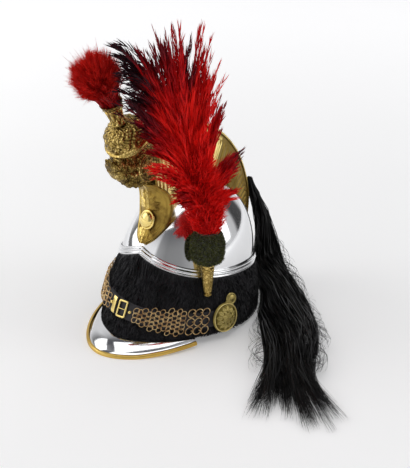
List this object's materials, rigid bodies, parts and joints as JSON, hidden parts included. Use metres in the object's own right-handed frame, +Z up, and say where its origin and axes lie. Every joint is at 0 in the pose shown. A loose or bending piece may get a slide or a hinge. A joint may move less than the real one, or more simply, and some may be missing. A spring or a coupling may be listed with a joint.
{
  "type": "cuirassier helmet",
  "caption": "Polished steel cavalry helmet with fur turban, peak, tall brass crest, horsehair mane, tuft, side plume and mail chin chain.",
  "frame": {"origin": "on the floor under the middle of the bounding box of the whole helmet, mane included", "axes": "-Y the way the wearer faces, +X the wearer's left, +Z up from the floor"},
  "size_m": [0.5112, 0.4026, 0.4983],
  "materials": {
    "steel": "mirror polished steel",
    "brass": "cast and pressed brass, aged in the hollows",
    "fur": "short black fur on a backing",
    "leather": "black strap leather",
    "feather": "red feathers",
    "tuft_hair": "stiff red hair",
    "wool": "clipped olive green wool",
    "horsehair": "long glossy black horsehair"
  },
  "bodies": {
    "root": {"skull": "steel", "brow_moulding": "steel", "turban": "fur", "visor": "steel", "visor_rim": "brass", "crest_left": "brass", "crest_right": "brass", "crest_spine": "brass", "front_plate": "brass", "front_boss": "brass", "prow": "brass", "bulb": "brass", "tuft_socket": "brass", "tuft": "tuft_hair", "plume_socket": "brass", "plume_olive": "wool", "plume": "feather", "strap_left": "leather", "strap_right": "leather", "mail_left": "brass", "mail_right": "brass", "buckle_chape": "brass", "buckle_frame": "brass", "stud_left": "brass", "stud_right": "brass", "rosette_left": "brass", "rosette_right": "brass", "mane": "horsehair"}
  },
  "joints": []
}
